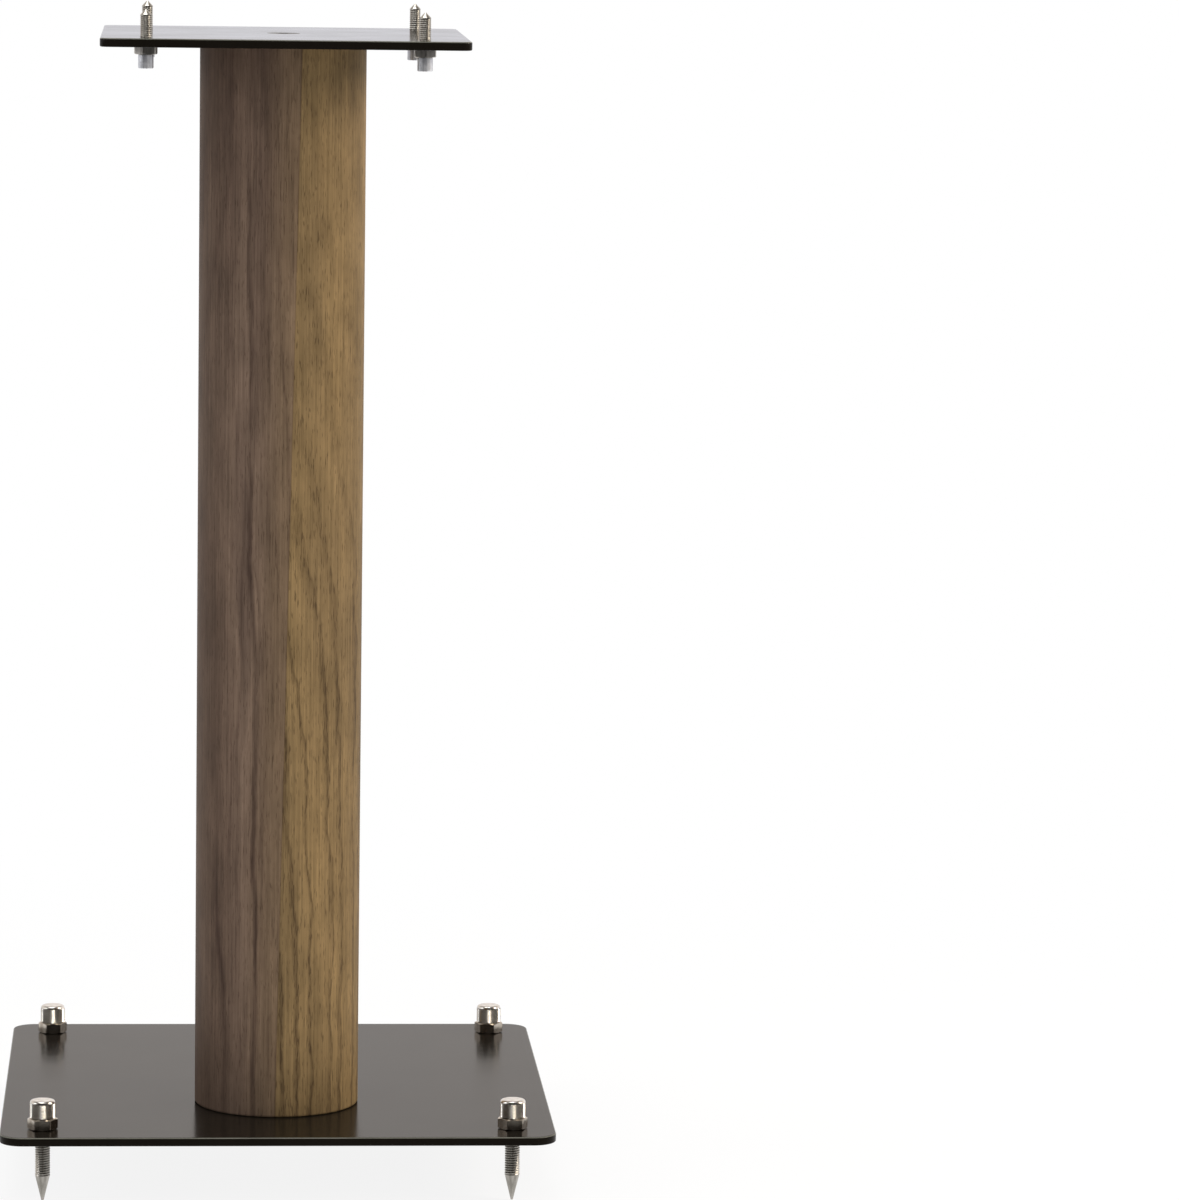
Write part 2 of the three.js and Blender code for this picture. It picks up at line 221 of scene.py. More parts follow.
def rounded_outline(half_x, half_y, radius):
    points = []
    for quarter, (sx, sy) in enumerate(((1, 1), (-1, 1), (-1, -1), (1, -1))):
        for k in range(CORNER_STEPS + 1):
            angle = math.pi / 2 * (quarter + k / CORNER_STEPS)
            x = sx * (half_x - radius) + radius * math.cos(angle)
            y = sy * (half_y - radius) + radius * math.sin(angle)
            points.append((x, y))
    return points


def circle(centre, radius):
    angles = [2 * math.pi * i / HOLE_STEPS for i in range(HOLE_STEPS)]
    return [(centre[0] + radius * math.cos(a), centre[1] + radius * math.sin(a)) for a in angles]


def add_ring(bm, points, z):
    return [bm.verts.new((x, y, z)) for x, y in points]


def bridge(bm, rings):
    """A band of faces between each ring and the next."""
    for first, second in zip(rings, rings[1:]):
        for i in range(len(first)):
            after = (i + 1) % len(first)
            bm.faces.new((first[i], first[after], second[after], second[i]))


def fill(bm, rings, z_normal):
    """A flat face inside the first ring, with the other rings as its holes."""
    edges = []
    for ring in rings:
        for i, vert in enumerate(ring):
            after = ring[(i + 1) % len(ring)]
            edges.append(bm.edges.get((vert, after)) or bm.edges.new((vert, after)))
    bmesh.ops.triangle_fill(bm, use_beauty=True, edges=edges, normal=(0, 0, z_normal))


def plate(node, corner_radius, holes, material):
    """A steel plate with rounded corners and edges.

    Each hole is its centre and its wall, as (radius, depth) pairs from the top face down.
    """
    low, high = box_mm(node)
    centre_y = (low.y + high.y) / 2
    half_x, half_y = (high.x - low.x) / 2, (high.y - low.y) / 2
    rounds = rounding(EDGE_ROUND, EDGE_STEPS)
    profile = [(EDGE_ROUND + FLAT_BAND, high.z)]
    profile += [(inset, high.z - drop) for inset, drop in rounds]
    profile += [(inset, low.z + drop) for inset, drop in reversed(rounds)]
    profile += [(EDGE_ROUND + FLAT_BAND, low.z)]

    bm = bmesh.new()
    rings = []
    for inset, z in profile:
        outline = rounded_outline(half_x - inset, half_y - inset, corner_radius - inset)
        rings.append(add_ring(bm, outline, z))
    bridge(bm, rings)
    tops, bottoms = [rings[0]], [rings[-1]]
    for (x, y), wall in holes:
        centre = (x, y - centre_y)
        rings = [add_ring(bm, circle(centre, radius), high.z - depth) for radius, depth in wall]
        bridge(bm, rings)
        tops.append(rings[0])
        bottoms.append(rings[-1])
    fill(bm, tops, 1)
    fill(bm, bottoms, -1)
    vertices = [tuple(v.co) for v in bm.verts]
    bm.verts.index_update()
    faces = [tuple(v.index for v in f.verts) for f in bm.faces]
    bm.free()
    mesh_piece(node, vertices, faces, "satin_black", material, (0, centre_y))


def plain_hole(centre, radius, thickness):
    return centre, [
        (radius + HOLE_CHAMFER, 0),
        (radius, HOLE_CHAMFER),
        (radius, thickness - HOLE_CHAMFER),
        (radius + HOLE_CHAMFER, thickness),
    ]


def countersunk_hole(centre, thickness, from_below):
    narrow = SCREW_RIM - thickness
    if from_below:
        return centre, [(narrow, 0), (SCREW_RIM, thickness)]
    return centre, [(SCREW_RIM, 0), (narrow, thickness)]


# ---------------------------------------------------------------- spikes, nuts, knobs and grips


def thread_rows(low, high, major, minor, pitch):
    """Rows of a right-hand thread that fades in and out at its two ends."""
    steps = max(1, round((high - low) / pitch * ROWS_PER_PITCH))
    run_out = RUN_OUT * pitch

    def row(z):
        fade = max(0, min(1, (z - low) / run_out, (high - z) / run_out))

        def at(angle):
            phase = (z / pitch - angle / (2 * math.pi)) % 1
            slope = abs(2 * phase - 1)
            crest = min(1, max(0, FLANK_GAIN * slope - ROOT_FLAT))
            return major - (major - minor) * (1 - crest) * fade, z

        return at

    return [row(low + (high - low) * k / steps) for k in range(steps + 1)]


def floor_spike(node, where, material):
    """The long cone points down, from a tip that is a little blunt."""
    low, high = heights(node)
    cone, major, minor = 13.5, 3.95, 3.55
    tip, tip_edge, edge_height = 0.5, 0.62, 0.3
    shoulder, chamfer = 0.15, 0.8
    rows = [
        (tip, low),
        (tip_edge, low + edge_height),
        (major - shoulder, low + cone - edge_height),
    ]
    rows += thread_rows(low + cone, high - chamfer, major, minor, SHANK_PITCH)
    rows += [(minor, high)]
    mesh_piece(node, *lathe(rows, SPIKE_STEPS), "nickel", material, where)


def top_spike(node, where, material):
    """The short cone points up."""
    low, high = heights(node)
    cone, major, minor = 2.7, 2.9, 2.62
    tip, chamfer = 0.3, 0.5
    rows = [(minor, low)]
    rows += thread_rows(low + chamfer, high - cone, major, minor, STUD_PITCH)
    rows += [(tip, high)]
    mesh_piece(node, *lathe(rows, SPIKE_STEPS), "nickel", material, where)


def hex_radius(across_flats, corner_trim):
    """The distance to a hexagon's edge at an angle, with its six corners a little worn."""
    corner = across_flats / math.sqrt(3) - corner_trim

    def at(angle):
        within = (angle % (math.pi / 3)) - math.pi / 6
        return min(across_flats / 2 / math.cos(within), corner)

    return at


def hex_socket(across_flats):
    """A function of the height that gives a row of the socket there."""
    edge = hex_radius(across_flats, 0)
    return lambda z: lambda angle: (edge(angle), z)


def hex_nut(node, where, across_flats, bore, low, high, turn, material):
    """A chamfered hex nut: its corners at 0, 60 ... degrees before it is turned."""
    edge = hex_radius(across_flats, NUT_WEAR)
    face = across_flats / 2 * NUT_FACE
    rise = math.tan(NUT_CHAMFER)

    def top(angle):
        return edge(angle), high - max(0, edge(angle) - face) * rise

    def bottom(angle):
        return edge(angle), low + max(0, edge(angle) - face) * rise

    rows = [
        (bore, low + BORE_CHAMFER),
        (bore + BORE_CHAMFER, low),
        (face, low),
        bottom,
        top,
        (face, high),
        (bore + BORE_CHAMFER, high),
        (bore, high - BORE_CHAMFER),
    ]
    vertices, faces = lathe(rows, NUT_STEPS, turn=turn, loop=True)
    mesh_piece(node, vertices, faces, "nickel", material, where, sharp=NUT_EDGE)


def knob(node, where, low, high, material):
    """The knurled cap nut, closed at its foot: the shank's end goes up inside it unseen."""
    foot_chamfer, shoulder, top_band = 0.5, 1.5, 0.8
    shoulder_steps, shoulder_sink = 7, 0.4
    knurl_low, knurl_high = low + foot_chamfer, high - shoulder
    cell = 2 * math.pi * KNOB_RADIUS / KNURL_AROUND
    knurl_rows = KNURL_STEPS * round((knurl_high - knurl_low) / cell)

    def triangle(value):
        return 1 - abs(2 * (value % 1) - 1)

    def knurl(j):
        z = knurl_low + (knurl_high - knurl_low) * j / knurl_rows

        def at(angle):
            around = KNURL_AROUND * angle / (2 * math.pi)
            up = j / KNURL_STEPS
            peak = min(triangle(around + up), triangle(around - up))
            return KNOB_RADIUS - KNURL_DEPTH * (1 - min(peak, KNURL_TOP) / KNURL_TOP), z

        return at

    def split(i, row):
        j = row - 1
        if not 0 <= j < knurl_rows:
            return None
        return (i - j) % KNURL_STEPS == 0

    crown = KNOB_RADIUS - KNURL_DEPTH * shoulder_sink
    rounds = rounding(shoulder, shoulder_steps)
    rows = [(KNOB_RADIUS - KNURL_DEPTH - foot_chamfer, low)]
    rows += [knurl(j) for j in range(knurl_rows + 1)]
    rows += [(crown - inset, high - drop) for inset, drop in reversed(rounds)]
    rows += [(crown - shoulder - top_band, high)]
    vertices, faces = lathe(rows, KNURL_STEPS * KNURL_AROUND, split=split)
    mesh_piece(node, vertices, faces, "nickel", material, where, sharp=KNURL_EDGE)


def grip(node, where, low, high, material):
    """The turned end below a top spike's nut, with a key's socket in its lower face."""
    socket = hex_socket(GRIP_KEY)
    socket_depth, socket_floor = 2, 1.2
    band = GRIP_RADIUS - 1.2
    rounds = rounding(0.5, 4)
    rows = [(socket_floor, low + socket_depth), socket(low + socket_depth), socket(low)]
    rows += [(band, low)]
    rows += [(GRIP_RADIUS - inset, low + drop) for inset, drop in rounds]
    rows += [(GRIP_RADIUS - inset, high - drop) for inset, drop in reversed(rounds)]
    rows += [(band, high)]
    mesh_piece(node, *lathe(rows, TURNED_STEPS), "nickel", material, where)


# ---------------------------------------------------------------- screws and column


def countersunk_screw(node, where, face, inwards, material):
    """inwards is -1 where the screw points down from its face, and 1 where it points up."""
    low, high = heights(node)
    tip = low if inwards < 0 else high
    socket = hex_socket(SCREW_KEY)
    socket_depth, socket_edge, socket_floor, socket_rim = 2.6, 0.25, 2, 3.05
    head, head_depth, shank, point = 8, 4.5, 3.9, 2.9

    def z(distance):
        return face + inwards * distance

    rows = [
        (socket_floor, z(socket_depth)),
        socket(z(socket_depth)),
        socket(z(socket_edge)),
        (socket_rim, z(0)),
        (head - 0.3, z(0)),
        (head - 0.05, z(0.15)),
        (head, z(0.4)),
        (shank, z(head_depth)),
        (shank, tip - inwards),
        (point, tip),
    ]
    mesh_piece(node, *lathe(rows, TURNED_STEPS), "black_oxide", material, where)


def column(node, where, material):
    """The post, with a bore in each end and a rounded edge at each."""
    low, high = box_mm(node)
    radius = (high.x - low.x) / 2
    bottom, top = low.z - SEAT_CLOSE, high.z + SEAT_CLOSE
    bore_floor, side_start = 0.5, 1.6
    band = radius - 1.8
    rounds = rounding(1.0, 4)
    rows = [
        (bore_floor, bottom + BORE_DEPTH),
        (COLUMN_BORE, bottom + BORE_DEPTH),
        (COLUMN_BORE, bottom),
        (band, bottom),
    ]
    rows += [(radius - inset, bottom + drop) for inset, drop in rounds]
    rows += [(radius, bottom + side_start), (radius, top - side_start)]
    rows += [(radius - inset, top - drop) for inset, drop in reversed(rounds)]
    rows += [
        (band, top),
        (COLUMN_BORE, top),
        (COLUMN_BORE, top - BORE_DEPTH),
        (bore_floor, top - BORE_DEPTH),
    ]
    mesh_piece(node, *lathe(rows, COLUMN_STEPS), "walnut", material, where)


# ---------------------------------------------------------------- node trees


class Nodes:
    """A node tree, with short calls for the nodes that are made in it."""

    def __init__(self, tree):
        self.tree = tree

    def put(self, socket, value):
        if isinstance(value, bpy.types.NodeSocket):
            self.tree.links.new(value, socket)
        else:
            socket.default_value = value

    def node(self, kind, values=None, **settings):
        node = self.tree.nodes.new(kind)
        for key, value in settings.items():
            setattr(node, key, value)
        for key, value in (values or {}).items():
            self.put(node.inputs[key], value)
        return node

    def math(self, operation, *values):
        node = self.node("ShaderNodeMath", dict(enumerate(values)), operation=operation)
        return node.outputs[0]

    def join(self, *values):
        return self.node("ShaderNodeCombineXYZ", dict(enumerate(values))).outputs[0]

    def split(self, vector):
        return self.node("ShaderNodeSeparateXYZ", {0: vector}).outputs

    def length(self, vector):
        node = self.node("ShaderNodeVectorMath", {0: vector}, operation="LENGTH")
        return node.outputs["Value"]

    def noise(self, vector, scale, detail, roughness):
        """scale is one number, or three, which stretch the pattern by different amounts."""
        if isinstance(scale, tuple):
            vector = self.node("ShaderNodeMapping", {"Vector": vector, "Scale": scale}).outputs[0]
            scale = 1
        values = {"Vector": vector, "Scale": scale, "Detail": detail, "Roughness": roughness}
        return self.node("ShaderNodeTexNoise", values).outputs["Fac"]

    def remap(self, value, low, high, to_low=0, to_high=1, smooth=False):
        values = {0: value, 1: low, 2: high, 3: to_low, 4: to_high}
        kind = "SMOOTHSTEP" if smooth else "LINEAR"
        return self.node("ShaderNodeMapRange", values, interpolation_type=kind).outputs[0]

    def choose(self, factor, first, second):
        """Between two numbers."""
        values = {0: factor, 2: first, 3: second}
        return self.node("ShaderNodeMix", values, data_type="FLOAT").outputs[0]

    def blend(self, factor, first, second, mode="MIX"):
        """Between two colours."""
        values = {0: factor, 6: first, 7: second}
        node = self.node("ShaderNodeMix", values, data_type="RGBA", blend_type=mode)
        return node.outputs[2]

    def ramp(self, value, stops):
        node = self.node("ShaderNodeValToRGB", {0: value})
        elements = node.color_ramp.elements
        while len(elements) < len(stops):
            elements.new(0.5)
        for element, (position, color) in zip(elements, stops):
            element.position = position
            element.color = color
        return node.outputs[0]


class Finish(Nodes):
    """A material's nodes, round its shader and its place on the object."""

    def __init__(self, name):
        self.material = bpy.data.materials.new(name)
        self.material.use_nodes = True
        super().__init__(self.material.node_tree)
        self.shader = self.tree.nodes["Principled BSDF"]
        self.place = self.node("ShaderNodeTexCoord").outputs["Object"]

    def bump(self, height, strength, distance):
        values = {"Height": height, "Strength": strength, "Distance": distance}
        self.put(self.shader.inputs["Normal"], self.node("ShaderNodeBump", values).outputs[0])

    def surface(self, **values):
        for key, value in values.items():
            self.put(self.shader.inputs[key.replace("_", " ")], value)


def srgb(red, green, blue):
    """A colour as a screen shows it, 0 to 255, as Blender's linear colour."""
    def linear(level):
        share = level / 255
        return share / 12.92 if share <= 0.04045 else ((share + 0.055) / 1.055) ** 2.4

    return (linear(red), linear(green), linear(blue), 1)


def grey(level):
    return (level, level, level, 1)


# ---------------------------------------------------------------- paint and metal


NOISE_LOW, NOISE_HIGH = 0.3, 0.7  # a noise seldom leaves this range
PAINT_DARK = (0.0075, 0.006, 0.0045, 1)
PAINT_PALE = (0.011, 0.009, 0.0068, 1)
# the colour of the painted highlight along the plates' upper rounded edges
PAINT_RIM_HIGHLIGHT = (0.2, 0.2, 0.17, 1)
PAINT_IOR = 1.17
PAINT_TINT = (1, 0.965, 0.93, 1)


def satin_black(name, smooth, rough):
    """smooth and rough are the ends of the paint's roughness."""
    finish = Finish(name)
    grain = finish.noise(finish.place, 2600, 3, 0.6)
    cloud = finish.noise(finish.place, 28, 4, 0.6)
    # the upper edge is rubbed paler, more in some places than in others
    facing = finish.node("ShaderNodeNewGeometry").outputs["True Normal"]
    upward = finish.split(facing)["Z"]
    rise = finish.remap(upward, 0.15, 0.5, smooth=True)
    # painted highlight: the upper rounded edge, where it faces up, is painted paler, more in some
    # places than in others
    level_out = finish.remap(upward, 0.9, 0.995, 1, 0, smooth=True)
    # painted highlight: this mask lightens only the upward-facing part of the edge's rounding
    painted_rim_highlight = finish.math("MULTIPLY", finish.math("MULTIPLY", rise, level_out), 0.8)
    painted_rim_highlight = finish.math("MULTIPLY", painted_rim_highlight, finish.remap(cloud, 0.3, 0.65, 0.6, 1))
    paint = finish.blend(cloud, PAINT_DARK, PAINT_PALE)
    finish.surface(
        Base_Color=finish.blend(painted_rim_highlight, paint, PAINT_RIM_HIGHLIGHT),
        Roughness=finish.remap(cloud, NOISE_LOW, NOISE_HIGH, smooth, rough),
        IOR=PAINT_IOR,
        Specular_Tint=PAINT_TINT,
    )
    finish.bump(grain, 0.05, 0.00003)
    return finish.material


def nickel(name, dark, pale, smooth, rough, metallic=1.0):
    """Turned and plated metal, streaked along its axis.

    dark and pale are its two mixed colours, smooth and rough the ends of its roughness.
    """
    finish = Finish(name)
    turning = finish.noise(finish.place, (60, 60, 9000), 2, 0.5)
    cloud = finish.noise(finish.place, 160, 3, 0.6)
    streak = finish.noise(finish.place, (520, 520, 14), 1, 0.5)
    cloud_part = finish.math("MULTIPLY", cloud, 0.4)
    streak_part = finish.math("MULTIPLY", streak, 0.6)
    mixed = finish.remap(finish.math("ADD", cloud_part, streak_part), 0.38, 0.6)
    finish.surface(
        Base_Color=finish.blend(mixed, (*dark, 1), (*pale, 1)),
        Metallic=metallic,
        Roughness=finish.remap(cloud, NOISE_LOW, NOISE_HIGH, smooth, rough),
    )
    finish.bump(turning, 0.1, 0.00002)
    return finish.material


def clouded_metal(name, scale, dark, pale, smooth, rough, metallic):
    finish = Finish(name)
    cloud = finish.noise(finish.place, scale, 3, 0.6)
    finish.surface(
        Base_Color=finish.blend(cloud, (*dark, 1), (*pale, 1)),
        Metallic=metallic,
        Roughness=finish.remap(cloud, NOISE_LOW, NOISE_HIGH, smooth, rough),
    )
    return finish.material


# ---------------------------------------------------------------- walnut, in metres


LEFT_TONES = (
    (0.30, srgb(92, 75, 65)),
    (0.46, srgb(110, 91, 78)),
    (0.60, srgb(123, 103, 88)),
    (0.74, srgb(106, 88, 76)),
)
# x below and above the height of its step, that height, half width, depth, start and end
LEFT_VEINS = (
    (-0.0128, -0.0168, 0.305, 0.0022, 0.8, -0.05, 0.56),
    (-0.0215, -0.0190, 0.300, 0.0016, 0.4, 0.10, 0.42),
    (-0.0270, -0.0325, 0.110, 0.0024, 0.6, -0.05, 0.20),
    (-0.0390, -0.0265, 0.500, 0.0030, 0.5, 0.44, 0.66),
    (0.0040, -0.0020, 0.420, 0.0016, 0.4, 0.26, 0.53),
)
VEIN_STEP = 0.05
VEIN_FADE = 0.06
RING_SPACING = 0.0048
WALNUT_IOR = 1.14


def left_board(finish, x, z, from_glue, bend):
    """Layers seen on edge, as soft streaks that run up the column."""
    layer = finish.math("ADD", x, bend)
    row = finish.join(layer, 0.3, finish.math("MULTIPLY", z, 0.06))
    color = finish.ramp(finish.noise(row, 70, 3, 0.5), LEFT_TONES)
    towards_glue = finish.remap(from_glue, -0.022, -0.001, 0, 0.75, smooth=True)
    color = finish.blend(towards_glue, color, srgb(122, 102, 80))
    # painted shade: the column's left side, turned away from the warm side lamp, is painted darker
    painted_left_shade = finish.remap(x, -0.040, -0.016, 0.55, 0, smooth=True)
    color = finish.blend(painted_left_shade, color, srgb(72, 57, 47))
    streak = finish.remap(finish.noise(row, 330, 3, 0.6), 0.52, 0.7, 0, 0.35)
    return finish.blend(streak, color, srgb(70, 54, 47))


def add_veins(finish, color, x, z, wobble, patchy):
    for low_x, high_x, step, half_width, depth, start, end in LEFT_VEINS:
        step_low, step_high = step - VEIN_STEP, step + VEIN_STEP
        centre = finish.remap(z, step_low, step_high, low_x, high_x, smooth=True)
        away = finish.math("ADD", finish.math("SUBTRACT", x, centre), wobble)
        line = finish.remap(finish.math("ABSOLUTE", away), 0, half_width, 1, 0, smooth=True)
        starts = finish.remap(z, start, start + VEIN_FADE, smooth=True)
        ends = finish.remap(z, end - VEIN_FADE, end, 1, 0, smooth=True)
        line = finish.math("MULTIPLY", line, finish.math("MULTIPLY", ends, starts))
        line = finish.math("MULTIPLY", line, finish.math("MULTIPLY", patchy, depth))
        color = finish.blend(line, color, srgb(58, 43, 38))
    return color


def right_board(finish, x, y, z, bend, patchy):
    """Its colour, and its rings about a pith line that leans, so that they arch to the right."""
    pith_y = finish.remap(z, 0, 0.6, -0.024, 0.012)
    off_x = finish.math("ADD", x, 0.014)
    off_y = finish.math("SUBTRACT", y, pith_y)
    reach = finish.length(finish.join(off_x, off_y))
    reach = finish.math("ADD", reach, finish.math("MULTIPLY", bend, 0.9))
    count = finish.math("DIVIDE", reach, RING_SPACING)
    uneven = finish.noise(finish.join(count), 0.7, 1, 0.5)
    count = finish.math("ADD", count, finish.math("MULTIPLY", uneven, 1.6))
    phase = finish.math("FRACT", count)
    rise = finish.remap(phase, 0.55, 0.88, smooth=True)
    fall = finish.remap(phase, 0.88, 1.0, 1, 0, smooth=True)
    low_down = finish.remap(z, 0.44, 0.24, 0.25, 1, smooth=True)
    faded = finish.math("MULTIPLY", finish.remap(patchy, 0.25, 1, 0.6, 1), low_down)
    ring = finish.math("MULTIPLY", finish.math("MULTIPLY", rise, fall), faded)
    tone = finish.remap(finish.noise(finish.place, (34, 34, 5), 3, 0.5), NOISE_LOW, NOISE_HIGH)
    color = finish.blend(tone, srgb(116, 97, 70), srgb(142, 118, 82))
    return finish.blend(finish.math("MULTIPLY", ring, 0.5), color, srgb(70, 54, 38)), ring


def walnut():
    """Two glued boards: straight-grained on the left, flat-sawn with arched rings on the right."""
    finish = Finish("walnut")
    x, y, z = finish.split(finish.place)

    # the glue line leans a little, and the right board is on its +x side
    glue = finish.remap(z, 0.038, 0.595, -0.0015, 0.0089)
    from_glue = finish.math("SUBTRACT", x, glue)
    on_right = finish.remap(from_glue, -0.0002, 0.0002)

    # slow drifts that bend the grain, and the patches in which veins and rings come and go
    drift = finish.remap(finish.noise(finish.place, (9, 9, 5), 2, 0.5), 0, 1, -0.007, 0.007)
    wobble = finish.noise(finish.place, (60, 60, 22), 3, 0.55)
    wobble = finish.remap(wobble, 0, 1, -0.003, 0.003)
    bend = finish.math("ADD", drift, wobble)
    patchy = finish.noise(finish.place, (70, 70, 12), 3, 0.6)
    patchy = finish.remap(patchy, 0.35, 0.6, 0.25, 1)

    left = left_board(finish, x, z, from_glue, bend)
    left = add_veins(finish, left, x, z, wobble, patchy)
    right, ring = right_board(finish, x, y, z, bend, patchy)
    wood = finish.blend(on_right, left, right)
    seam = finish.remap(finish.math("ABSOLUTE", from_glue), 0, 0.0007, 0.35, 0, smooth=True)
    wood = finish.blend(seam, wood, srgb(66, 50, 40))

    # what both boards have: fibres, a faint shimmer across, and pores as short dark dashes
    fibre = finish.noise(finish.place, (1000, 1000, 15), 4, 0.65)
    fibre_grey = finish.ramp(fibre, [(NOISE_LOW, grey(0.24)), (NOISE_HIGH, grey(0.76))])
    wood = finish.blend(0.5, wood, fibre_grey, "OVERLAY")
    shimmer = finish.noise(finish.place, (75, 75, 38), 3, 0.55)
    shimmer_grey = finish.ramp(shimmer, [(NOISE_LOW, grey(0.34)), (NOISE_HIGH, grey(0.66))])
    wood = finish.blend(0.45, wood, shimmer_grey, "OVERLAY")
    pores = finish.noise(finish.place, (1900, 1900, 170), 1, 0.5)
    along_ring = finish.math("MULTIPLY", finish.math("MULTIPLY", ring, on_right), 0.12)
    pores = finish.remap(finish.math("ADD", pores, along_ring), 0.6, 0.68)
    pore = finish.math("MULTIPLY", pores, finish.remap(on_right, 0, 1, 0.35, 0.5))
    wood = finish.blend(pore, wood, srgb(52, 39, 30))

    finish.surface(
        Base_Color=wood,
        Roughness=finish.remap(fibre, NOISE_LOW, NOISE_HIGH, 0.5, 0.6),
        IOR=WALNUT_IOR,
    )
    relief = finish.math("SUBTRACT", finish.math("MULTIPLY", fibre, 0.4), pore)
    finish.bump(relief, 0.25, 0.00012)
    return finish.material


# ---------------------------------------------------------------- the pieces


# how far each nut happens to be turned, in degrees
FLOOR_NUT_TURNS = {"front_left": 0, "front_right": 7, "back_left": 5, "back_right": -11}
TOP_NUT_TURNS = {"front_left": 20, "front_right": 30, "back_left": 12, "back_right": -23}


def add_plates():
    base_low, base_high = heights("base_plate")
    thickness = base_high - base_low
    holes = [plain_hole(middle(f"floor_spike_{c}"), SHANK_BORE, thickness) for c in CORNERS]
    holes += [countersunk_hole(middle("column"), thickness, from_below=True)]
    plate("base_plate", BASE_CORNER, holes, satin_black("satin_black", 0.165, 0.195))

    top_low, top_high = heights("top_plate")
    thickness = top_high - top_low
    holes = [plain_hole(middle(f"top_spike_{c}"), STUD_BORE, thickness) for c in CORNERS]
    holes += [countersunk_hole(middle("column"), thickness, from_below=False)]
    plate("top_plate", TOP_CORNER, holes, satin_black("satin_black_top", 0.12, 0.15))


def add_column():
    axis = middle("column")
    column("column", axis, walnut())
    oxide = clouded_metal(
        "black_oxide", 300, (0.02, 0.02, 0.022), (0.05, 0.05, 0.052), 0.32, 0.45, 0.6
    )
    top_face = heights("top_plate")[1] - SCREW_SUNK
    bottom_face = heights("base_plate")[0] + SCREW_SUNK
    countersunk_screw("top_screw", axis, top_face, -1, oxide)
    countersunk_screw("bottom_screw", axis, bottom_face, 1, oxide)
    zinc = clouded_metal("zinc", 250, (0.5, 0.51, 0.52), (0.66, 0.67, 0.68), 0.3, 0.45, 1.0)
    for name in ("top_insert", "bottom_insert"):
        nodes[name].data.materials.clear()
        nodes[name].data.materials.append(zinc)


def add_feet():
    knob_plate = nickel("bright_nickel", (0.60, 0.57, 0.52), (0.76, 0.73, 0.69), 0.16, 0.24)
    nut_plate = nickel("aged_nickel", (0.40, 0.35, 0.29), (0.58, 0.53, 0.46), 0.16, 0.26)
    spike_plate = nickel("satin_nickel", (0.38, 0.36, 0.32), (0.60, 0.57, 0.52), 0.26, 0.36)
    grip_plate = nickel("pale_zinc", (0.42, 0.43, 0.47), (0.95, 0.96, 1.0), 0.3, 0.4, 0.45)
    for corner in CORNERS:
        spike = f"floor_spike_{corner}"
        nut = f"floor_lock_nut_{corner}"
        cap = f"floor_knob_{corner}"
        where = middle(spike)
        floor_spike(spike, where, spike_plate)
        low, high = heights(nut)
        low -= SEAT_CLOSE
        turn = FLOOR_NUT_TURNS[corner]
        hex_nut(nut, where, FLOOR_NUT_FLATS, SHANK_BORE, low, high, turn, nut_plate)
        low, high = heights(cap)
        knob(cap, where, low - SEAT_CLOSE, high, knob_plate)

        spike = f"top_spike_{corner}"
        nut = f"top_lock_nut_{corner}"
        end = f"top_spike_grip_{corner}"
        where = middle(spike)
        top_spike(spike, where, spike_plate)
        low, high = heights(nut)
        high += SEAT_CLOSE
        turn = TOP_NUT_TURNS[corner]
        hex_nut(nut, where, TOP_NUT_FLATS, STUD_BORE, low, high, turn, spike_plate)
        low, high = heights(end)
        grip(end, where, low, high + SEAT_CLOSE, grip_plate)


# ---------------------------------------------------------------- the camera


CAMERA_PLACE = (-0.05363, -3.10569, 0.71502)
CAMERA_TURN = (4.05, 7.624, 0.804)  # pan to the right, pitch down and roll, in degrees
LENS_MM = 176.42
SENSOR_MM = 36


def add_camera():
    """The photograph's camera: its place, its direction and a long lens, all from a fit."""
    pan, pitch, roll = (math.radians(turn) for turn in CAMERA_TURN)
    level = math.cos(pitch)
    forward = Vector((math.sin(pan) * level, math.cos(pan) * level, -math.sin(pitch)))
    right = Vector((math.cos(pan), -math.sin(pan), 0))
    up = right.cross(forward)
    tilted_right = math.cos(roll) * right + math.sin(roll) * up
    tilted_up = math.cos(roll) * up - math.sin(roll) * right
    data = bpy.data.cameras.new("camera")
    data.sensor_fit = "VERTICAL"
    data.sensor_height = SENSOR_MM
    data.lens = LENS_MM
    data.clip_start = 0.1
    data.clip_end = 100
    camera = bpy.data.objects.new("camera", data)
    scene.collection.objects.link(camera)
    matrix = Matrix((tilted_right, tilted_up, -forward)).transposed().to_4x4()
    matrix.translation = Vector(CAMERA_PLACE)
    camera.matrix_world = matrix
    scene.camera = camera


# ---------------------------------------------------------------- floor, world and lamps


WHITE = (1, 1, 1, 1)
FLOOR_REACH = 30
FLOOR_DROP = 0.0002
FLOOR_ALBEDO = 0.88
MIRRORED_SHARE = 0.92
DIFFUSE_LEVEL = 0.5
LOW_BACKDROP = (1, 1, 1.06, 1)
HIGH_BACKDROP = (1, 0.935, 0.885, 1)
LAMP_TARGET = (0, -0.05, 0.3)


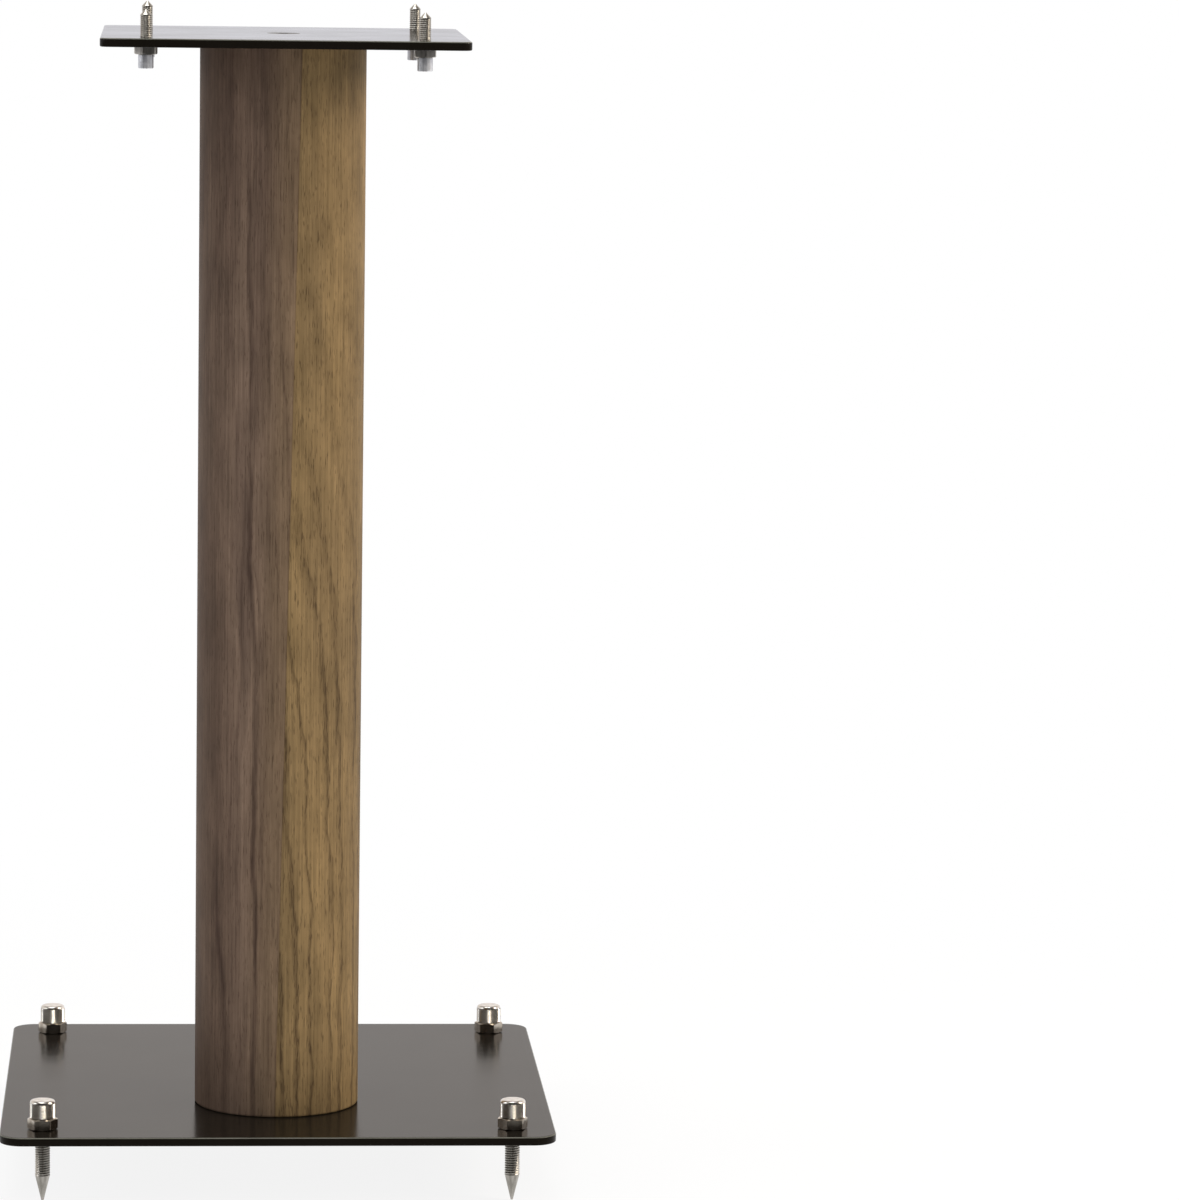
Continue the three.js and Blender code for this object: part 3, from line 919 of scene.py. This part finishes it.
def add_floor():
    mesh = bpy.data.meshes.new("floor")
    signs = ((-1, -1), (1, -1), (1, 1), (-1, 1))
    corners = [(x * FLOOR_REACH, y * FLOOR_REACH, 0) for x, y in signs]
    mesh.from_pydata(corners, [], [(0, 1, 2, 3)])
    floor = bpy.data.objects.new("floor", mesh)
    floor.location = (0, 0, -FLOOR_DROP)
    scene.collection.objects.link(floor)

    finish = Finish("floor")
    finish.surface(Base_Color=grey(FLOOR_ALBEDO), Roughness=0.9, Specular_IOR_Level=0)
    path = finish.node("ShaderNodeLightPath").outputs
    camera_ray = path["Is Camera Ray"]
    mirrored = finish.math("MAXIMUM", path["Is Glossy Ray"], path["Is Transmission Ray"])
    # in reflections the pale floor dims towards the front of the studio
    along = finish.split(finish.place)["Y"]
    dimming = finish.remap(along, -0.30, -0.02, 0.05, 1, smooth=True)
    strength = finish.math("MAXIMUM", camera_ray, dimming)
    glow = finish.node("ShaderNodeEmission", {"Color": WHITE, "Strength": strength})
    # the stand's shadow shows round its feet, and the floor further off is plain white
    whiteness = finish.remap(finish.length(finish.place), 0.2, 0.9, 0.88, 1, smooth=True)
    seen_share = finish.math("MULTIPLY", camera_ray, whiteness)
    mirrored_share = finish.math("MULTIPLY", mirrored, MIRRORED_SHARE)
    share = finish.math("MAXIMUM", seen_share, mirrored_share)
    values = {0: share, 1: finish.shader.outputs[0], 2: glow.outputs[0]}
    mix = finish.node("ShaderNodeMixShader", values)
    finish.put(finish.tree.nodes["Material Output"].inputs["Surface"], mix.outputs[0])
    mesh.materials.append(finish.material)


def add_world():
    world = bpy.data.worlds.new("studio")
    world.use_nodes = True
    scene.world = world
    studio = Nodes(world.node_tree)
    path = studio.node("ShaderNodeLightPath").outputs
    direction = studio.split(studio.node("ShaderNodeTexCoord").outputs["Generated"])

    # reflections see a pale backdrop behind and beside the stand, a dim studio in front of it
    # and a grey ceiling
    depth = studio.remap(direction["Y"], -0.8, 0.05, 0.05, 1, smooth=True)
    ceiling = studio.remap(direction["Z"], 0.45, 0.85, 1, 0.3, smooth=True)
    reflected = studio.math("MULTIPLY", depth, ceiling)
    level = studio.choose(path["Is Glossy Ray"], DIFFUSE_LEVEL, reflected)
    level = studio.choose(path["Is Transmission Ray"], level, reflected)
    level = studio.choose(path["Is Camera Ray"], level, 1)

    # in reflections the backdrop is faintly blue low down, and warmer further up
    height = studio.remap(direction["Z"], 0.05, 0.18, smooth=True)
    tint = studio.blend(height, LOW_BACKDROP, HIGH_BACKDROP)
    color = studio.blend(path["Is Glossy Ray"], WHITE, tint)

    background = studio.tree.nodes["Background"]
    studio.put(background.inputs["Strength"], level)
    studio.put(background.inputs["Color"], color)


def add_lamp(name, place, size, level, color):
    """A square soft lamp. level is how brightly it lights a white surface that faces it."""
    place, target = Vector(place), Vector(LAMP_TARGET)
    data = bpy.data.lights.new(name, "AREA")
    data.shape = "SQUARE"
    data.size = size
    data.energy = level * math.pi**2 * (place - target).length_squared
    data.color = color
    lamp = bpy.data.objects.new(name, data)
    scene.collection.objects.link(lamp)
    lamp.location = place
    lamp.rotation_euler = (target - place).to_track_quat("-Z", "Y").to_euler()


def add_lamps():
    add_lamp("overhead", (-0.3, -0.2, 2.8), 1.6, 0.5, (1, 1, 1))
    add_lamp("warm_side", (2.1, -0.45, 1.55), 0.9, 0.62, (1, 0.9, 0.76))
    add_lamp("cool_side", (-2.2, -0.6, 1.3), 0.9, 0.14, (0.93, 0.96, 1))


add_camera()
add_floor()
add_world()
add_lamps()
add_plates()
add_column()
add_feet()

bpy.context.view_layer.update()

scene.view_settings.view_transform = "Standard"
